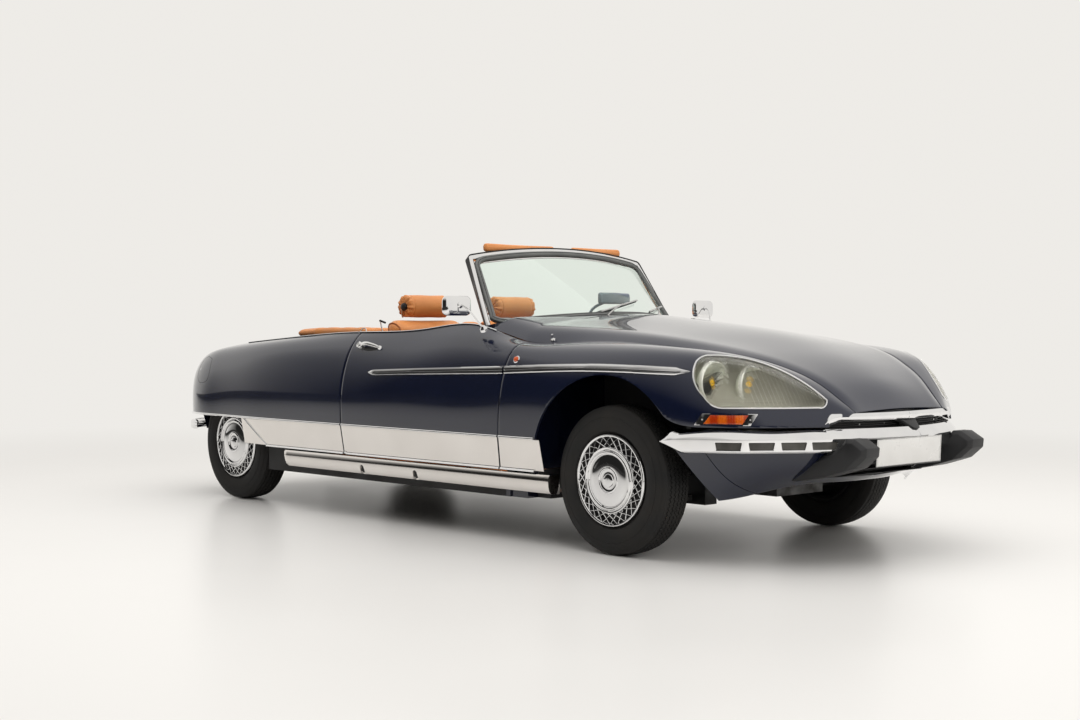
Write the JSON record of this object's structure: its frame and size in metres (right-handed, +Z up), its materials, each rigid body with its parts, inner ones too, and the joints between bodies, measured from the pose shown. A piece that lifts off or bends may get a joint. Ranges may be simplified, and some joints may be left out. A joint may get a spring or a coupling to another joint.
{
  "type": "convertible car",
  "caption": "Long low two-door convertible car with glazed twin headlamps, part-covered rear wheels, folded roof and opening doors, bonnet and boot lid.",
  "frame": {"origin": "on the ground under the middle of the car's overall length and width", "axes": "+X towards the front, +Y to the left, +Z up"},
  "size_m": [4.874, 1.96, 1.4249],
  "materials": {
    "underbody": "satin black",
    "paint": "gloss dark blue",
    "stainless": "bright brushed stainless",
    "chrome": "polished",
    "black_rubber": "matt",
    "black_plastic": "grained",
    "lamp_metal": "bright reflector",
    "clear_glass": "clear",
    "amber_lens": "ribbed amber",
    "tan_leather": "fine grain",
    "cast_metal": "as cast",
    "tyre_rubber": "matt black"
  },
  "bodies": {
    "chassis": {"platform": "underbody", "scuttle": "underbody", "rear_structure": "underbody", "tail_panel": "underbody", "suspension_arms": "underbody", "front_valance": "paint", "front_fender_right": "paint", "front_fender_left": "paint", "rear_wing_right": "paint", "rear_wing_left": "paint", "sills": "stainless", "front_bumper": "chrome", "grille_bar": "chrome", "rear_bumper": "chrome", "windscreen_frame": "chrome", "overriders": "black_rubber", "grille": "black_plastic", "dashboard": "black_plastic", "headlamps": "lamp_metal", "headlamp_glasses": "clear_glass", "windscreen_glass": "clear_glass", "signal_lamps": "amber_lens", "sun_visors": "tan_leather", "front_seats": "tan_leather", "headrests": "tan_leather", "rear_seat": "tan_leather", "roof_cover": "tan_leather", "engine": "cast_metal", "exhaust": "cast_metal"},
    "door_right": {"door_right": "paint", "door_fittings_right": "chrome"},
    "door_left": {"door_left": "paint", "door_fittings_left": "chrome"},
    "bonnet": {"bonnet": "paint"},
    "boot_lid": {"boot_lid": "paint"},
    "steering_wheel": {"steering_wheel": "black_plastic"},
    "knuckle_right": {"knuckle_right": "cast_metal"},
    "knuckle_left": {"knuckle_left": "cast_metal"},
    "wheel_front_right": {"tyre_front_right": "tyre_rubber", "wheel_front_right": "chrome"},
    "wheel_front_left": {"tyre_front_left": "tyre_rubber", "wheel_front_left": "chrome"},
    "wheel_rear_right": {"tyre_rear_right": "tyre_rubber", "wheel_rear_right": "chrome"},
    "wheel_rear_left": {"tyre_rear_left": "tyre_rubber", "wheel_rear_left": "chrome"}
  },
  "joints": [
    {"name": "door_right_hinge", "type": "hinge", "parent": "chassis", "child": "door_right", "pos_m": [0.712, -0.895, 0.62], "axis": [0, 0, 1], "range_deg": [0, 65]},
    {"name": "door_left_hinge", "type": "hinge", "parent": "chassis", "child": "door_left", "pos_m": [0.712, 0.895, 0.62], "axis": [0, 0, -1], "range_deg": [0, 65]},
    {"name": "bonnet_hinge", "type": "hinge", "parent": "chassis", "child": "bonnet", "pos_m": [0.407, 0, 1.03], "axis": [0, -1, 0], "range_deg": [0, 50]},
    {"name": "boot_lid_hinge", "type": "hinge", "parent": "chassis", "child": "boot_lid", "pos_m": [-1.37, 0, 0.9505], "axis": [0, 1, 0], "range_deg": [0, 60]},
    {"name": "steering_right", "type": "hinge", "parent": "chassis", "child": "knuckle_right", "pos_m": [1.377, -0.758, 0.33], "axis": [0, 0, 1], "range_deg": [-35, 35]},
    {"name": "steering_left", "type": "hinge", "parent": "chassis", "child": "knuckle_left", "pos_m": [1.377, 0.758, 0.33], "axis": [0, 0, 1], "range_deg": [-35, 35]},
    {"name": "steering_wheel_turn", "type": "hinge", "parent": "chassis", "child": "steering_wheel", "pos_m": [0.162, 0.32, 0.9], "axis": [-0.9272, 0, 0.3746], "range_deg": [-490, 490]},
    {"name": "roll_front_right", "type": "hinge", "parent": "knuckle_right", "child": "wheel_front_right", "pos_m": [1.377, -0.758, 0.33], "axis": [0, 1, 0], "continuous": true},
    {"name": "roll_front_left", "type": "hinge", "parent": "knuckle_left", "child": "wheel_front_left", "pos_m": [1.377, 0.758, 0.33], "axis": [0, 1, 0], "continuous": true},
    {"name": "roll_rear_right", "type": "hinge", "parent": "chassis", "child": "wheel_rear_right", "pos_m": [-1.748, -0.658, 0.33], "axis": [0, 1, 0], "continuous": true},
    {"name": "roll_rear_left", "type": "hinge", "parent": "chassis", "child": "wheel_rear_left", "pos_m": [-1.748, 0.658, 0.33], "axis": [0, 1, 0], "continuous": true}
  ],
  "couplings": [
    {"joint": "steering_left", "follows": "steering_right", "ratio": 1},
    {"joint": "steering_wheel_turn", "follows": "steering_right", "ratio": 14}
  ]
}
